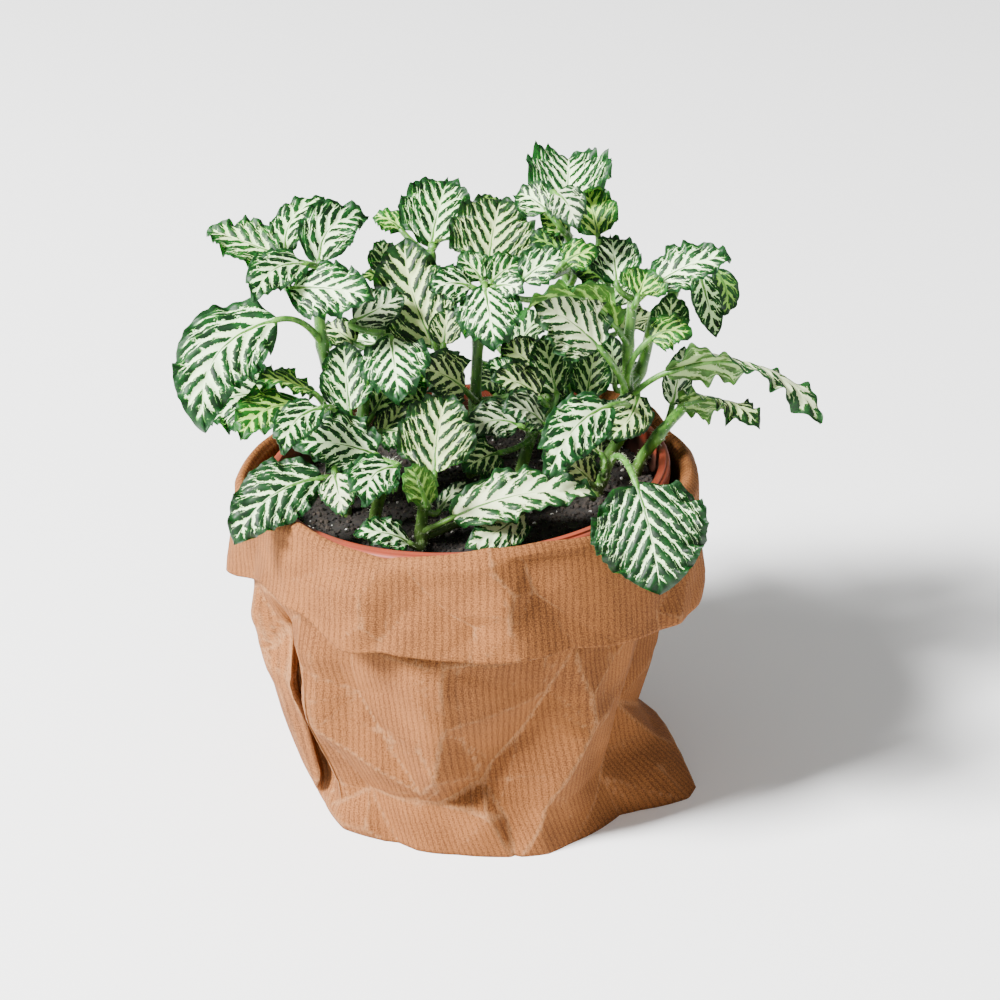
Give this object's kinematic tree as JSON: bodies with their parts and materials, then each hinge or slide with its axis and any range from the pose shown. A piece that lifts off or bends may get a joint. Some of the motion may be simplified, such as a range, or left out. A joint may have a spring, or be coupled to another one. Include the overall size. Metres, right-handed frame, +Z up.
{
  "type": "potted nerve plant",
  "caption": "Small white-veined nerve plant (fittonia) in a thin nursery pot, standing in a brown paper bag whose mouth is turned down into a wide cuff.",
  "frame": {"origin": "middle of the paper bag's flat base, on the surface it stands on", "axes": "+Z up; -Y towards the side shown in the picture, +X to the right seen from there"},
  "size_m": [0.1869, 0.1552, 0.1817],
  "materials": {
    "kraft_paper": "matte brown kraft paper, crumpled, finely ribbed",
    "terracotta_plastic": "satin terracotta-coloured plastic",
    "potting_soil": "loose moist peat with white grains",
    "veined_leaf": "soft-sheen green leaf with white to cream veins, green stems"
  },
  "bodies": {
    "root": {"paper_bag": "kraft_paper", "nursery_pot": "terracotta_plastic", "soil": "potting_soil", "leafy_stem_left_tall": "veined_leaf", "leafy_stem_left_low": "veined_leaf", "leafy_stem_front_left": "veined_leaf", "leafy_stem_front": "veined_leaf", "leafy_stem_mid_left": "veined_leaf", "leafy_stem_back_left": "veined_leaf", "leafy_stem_centre": "veined_leaf", "leafy_stem_top": "veined_leaf", "leafy_stem_right": "veined_leaf", "leafy_stem_right_low": "veined_leaf", "leafy_stem_right_front": "veined_leaf", "leafy_stem_right_back": "veined_leaf", "leafy_stem_mid": "veined_leaf", "leafy_stem_rear_left": "veined_leaf", "leafy_stem_rear": "veined_leaf", "leafy_stem_rear_right": "veined_leaf"}
  },
  "joints": []
}
